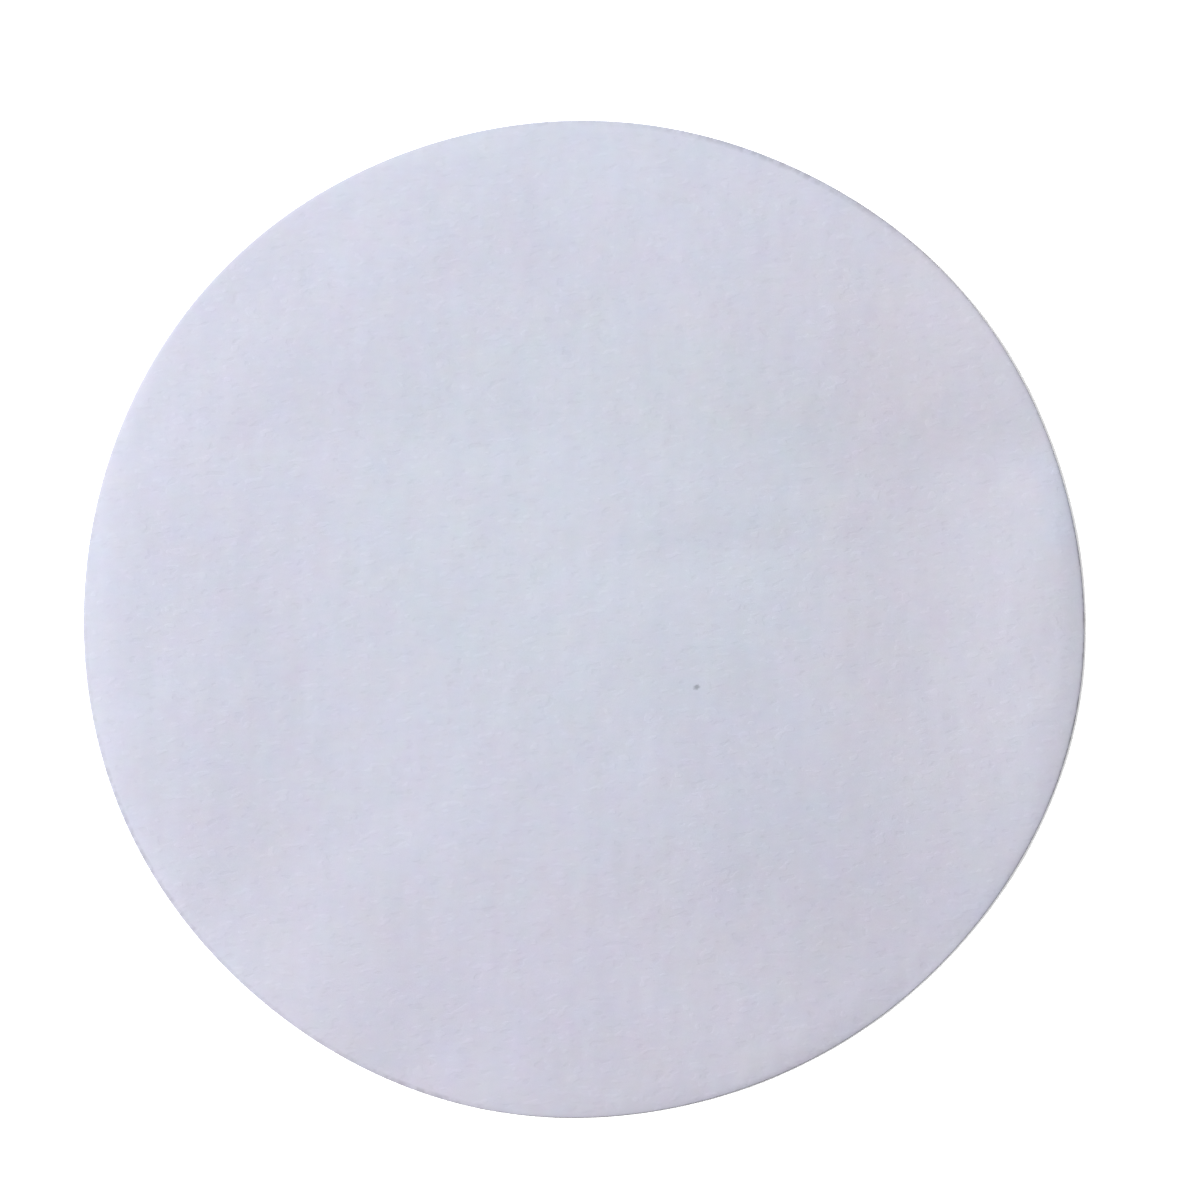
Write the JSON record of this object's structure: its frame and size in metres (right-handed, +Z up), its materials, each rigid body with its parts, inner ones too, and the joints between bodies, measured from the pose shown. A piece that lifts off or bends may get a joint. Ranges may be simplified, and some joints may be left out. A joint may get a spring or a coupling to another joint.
{
  "type": "filter paper disc",
  "caption": "Flat round sheet of soft white filter paper with a die-cut edge, laid in or folded into a funnel to strain solids out of a liquid.",
  "frame": {"origin": "centre of the underside, on the bench that the sheet lies on", "axes": "+Z up, square to the sheet and out of its upper face; X and Y lie in the sheet"},
  "size_m": [0.11, 0.11, 0.0005],
  "materials": {
    "filter_paper": "matte"
  },
  "bodies": {
    "root": {"paper_disc": "filter_paper"}
  },
  "joints": []
}
